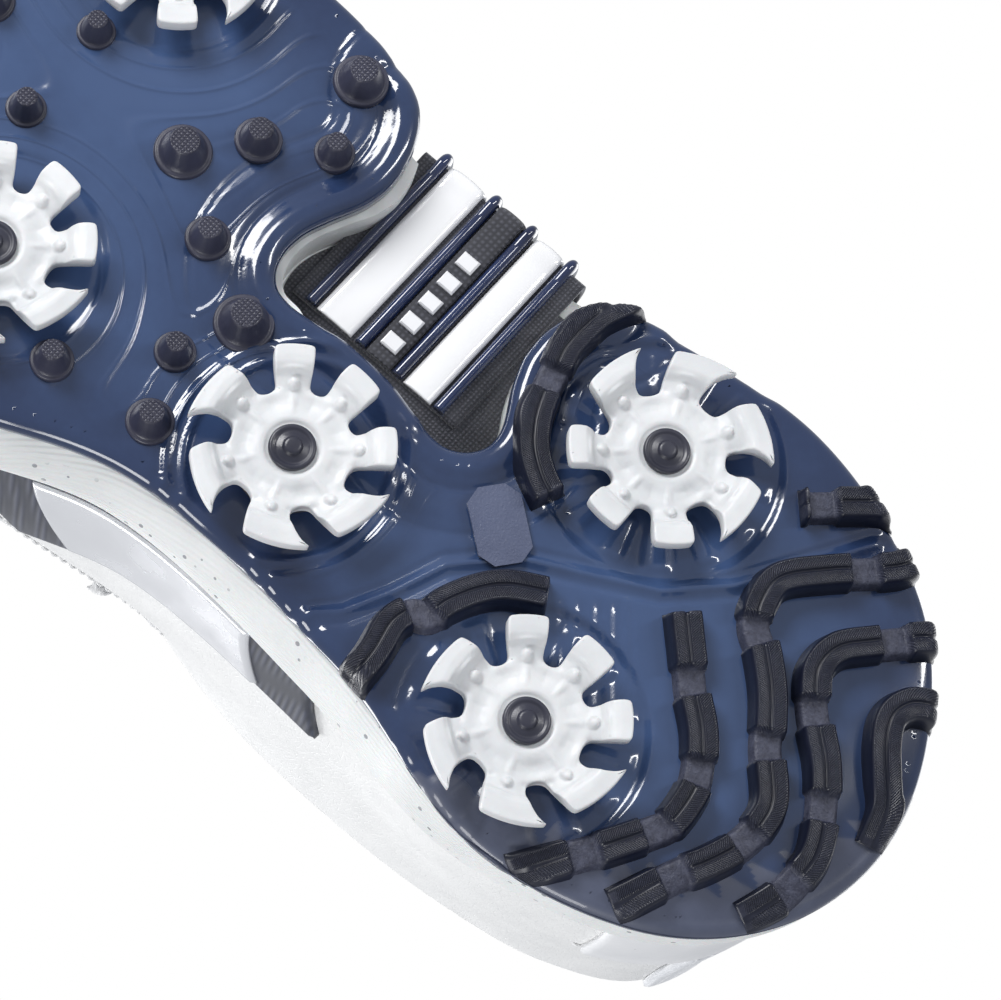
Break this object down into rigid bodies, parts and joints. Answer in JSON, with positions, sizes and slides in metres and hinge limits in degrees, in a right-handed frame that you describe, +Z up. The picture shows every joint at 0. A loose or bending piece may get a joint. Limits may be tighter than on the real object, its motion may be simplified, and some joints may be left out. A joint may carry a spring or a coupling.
{
  "type": "golf shoe",
  "caption": "Right golf shoe with a navy moulded sole, twist-lock cleats, an open arch with a mirror-trimmed saddle band, and a white laced upper.",
  "frame": {"origin": "on the ground under the middle of the shoe, at the bottom centre of its box", "axes": "+X from the heel to the toe, +Y towards the inner side of the right foot, +Z up"},
  "size_m": [0.3034, 0.1084, 0.1281],
  "materials": {
    "plate_tpu": "glossy translucent navy, moulded flow lines",
    "lug_rubber": "matte charcoal navy with fine grain",
    "patch_tpu": "satin navy",
    "cleat_white": "satin moulded white",
    "cap_charcoal": "satin charcoal",
    "socket_plastic": "moulded black",
    "foam_white": "matte moulded foam, finely speckled",
    "shank_steel": "brushed",
    "board_fibre": "stitched fibre board",
    "liner_foam": "knit over foam",
    "wrap_fabric": "dark woven synthetic",
    "frame_gloss": "glossy navy",
    "mirror_film": "mirror",
    "satin_film": "satin silver",
    "strap_web": "dark webbing",
    "mark_chrome": "polished",
    "upper_leather": "fine grained white",
    "guard_leather": "smooth white",
    "stiffener": "raw board",
    "heel_white": "satin white",
    "tab_fabric": "pale woven synthetic",
    "eyelet_metal": "anodised",
    "lace_cotton": "flat braid",
    "tongue_mesh": "spacer mesh",
    "label_rubber": "moulded, plain",
    "collar_knit": "soft knit",
    "lining_knit": "soft knit"
  },
  "bodies": {
    "shoe": {"outsole_plate": "plate_tpu", "heel_ribs": "lug_rubber", "toe_ribs": "lug_rubber", "traction_studs": "lug_rubber", "sole_patch": "patch_tpu", "midsole": "foam_white", "shank_plate": "shank_steel", "strobel_board": "board_fibre", "sockliner": "liner_foam", "saddle_wrap": "wrap_fabric", "saddle_frame": "frame_gloss", "mirror_inlay_front": "mirror_film", "mirror_inlay_rear": "mirror_film", "arch_strap": "strap_web", "strap_marks": "mark_chrome", "saddle_outer": "wrap_fabric", "mirror_inlay_outer": "satin_film", "quarter_lateral": "upper_leather", "quarter_medial": "upper_leather", "vamp": "upper_leather", "toe_guard": "guard_leather", "toe_puff": "stiffener", "heel_cap": "heel_white", "heel_stiffener": "stiffener", "heel_tab": "tab_fabric", "throat_stay": "guard_leather", "eyestay_lateral": "guard_leather", "eyestay_medial": "guard_leather", "eyelets": "eyelet_metal", "lace": "lace_cotton", "tongue_base": "tongue_mesh", "collar_padding": "collar_knit", "quarter_lining": "lining_knit", "vamp_lining": "lining_knit", "cleat_socket_1": "socket_plastic", "cleat_socket_2": "socket_plastic", "cleat_socket_3": "socket_plastic", "cleat_socket_4": "socket_plastic", "cleat_socket_5": "socket_plastic", "cleat_socket_6": "socket_plastic", "cleat_socket_7": "socket_plastic"},
    "cleat_body_1": {"cleat_1": "cleat_white", "cleat_cap_1": "cap_charcoal"},
    "cleat_body_2": {"cleat_2": "cleat_white", "cleat_cap_2": "cap_charcoal"},
    "cleat_body_3": {"cleat_3": "cleat_white", "cleat_cap_3": "cap_charcoal"},
    "cleat_body_4": {"cleat_4": "cleat_white", "cleat_cap_4": "cap_charcoal"},
    "cleat_body_5": {"cleat_5": "cleat_white", "cleat_cap_5": "cap_charcoal"},
    "cleat_body_6": {"cleat_6": "cleat_white", "cleat_cap_6": "cap_charcoal"},
    "cleat_body_7": {"cleat_7": "cleat_white", "cleat_cap_7": "cap_charcoal"},
    "tongue_top": {"tongue_flap": "tongue_mesh", "tongue_label": "label_rubber"}
  },
  "joints": [
    {"name": "cleat_turn_1", "type": "hinge", "parent": "shoe", "child": "cleat_body_1", "pos_m": [-0.10103, -0.02069, 0.0065], "axis": [0, 0, -1], "range_deg": [0, 60]},
    {"name": "cleat_turn_2", "type": "hinge", "parent": "shoe", "child": "cleat_body_2", "pos_m": [-0.09053, 0.02381, 0.0065], "axis": [0, 0, -1], "range_deg": [0, 60]},
    {"name": "cleat_turn_3", "type": "hinge", "parent": "shoe", "child": "cleat_body_3", "pos_m": [-0.05053, -0.01269, 0.0065], "axis": [0, 0, -1], "range_deg": [0, 60]},
    {"name": "cleat_turn_4", "type": "hinge", "parent": "shoe", "child": "cleat_body_4", "pos_m": [0.00097, -0.01869, 0.0065], "axis": [0, 0, -1], "range_deg": [0, 60]},
    {"name": "cleat_turn_5", "type": "hinge", "parent": "shoe", "child": "cleat_body_5", "pos_m": [0.01397, 0.03531, 0.0065], "axis": [0, 0, -1], "range_deg": [0, 60]},
    {"name": "cleat_turn_6", "type": "hinge", "parent": "shoe", "child": "cleat_body_6", "pos_m": [0.05497, -0.03369, 0.0065], "axis": [0, 0, -1], "range_deg": [0, 60]},
    {"name": "cleat_turn_7", "type": "hinge", "parent": "shoe", "child": "cleat_body_7", "pos_m": [0.06897, 0.02631, 0.0065], "axis": [0, 0, -1], "range_deg": [0, 60]},
    {"name": "tongue_fold", "type": "hinge", "parent": "shoe", "child": "tongue_top", "pos_m": [-0.03983, 0, 0.1035], "axis": [0, 1, 0], "range_deg": [0, 50]}
  ]
}
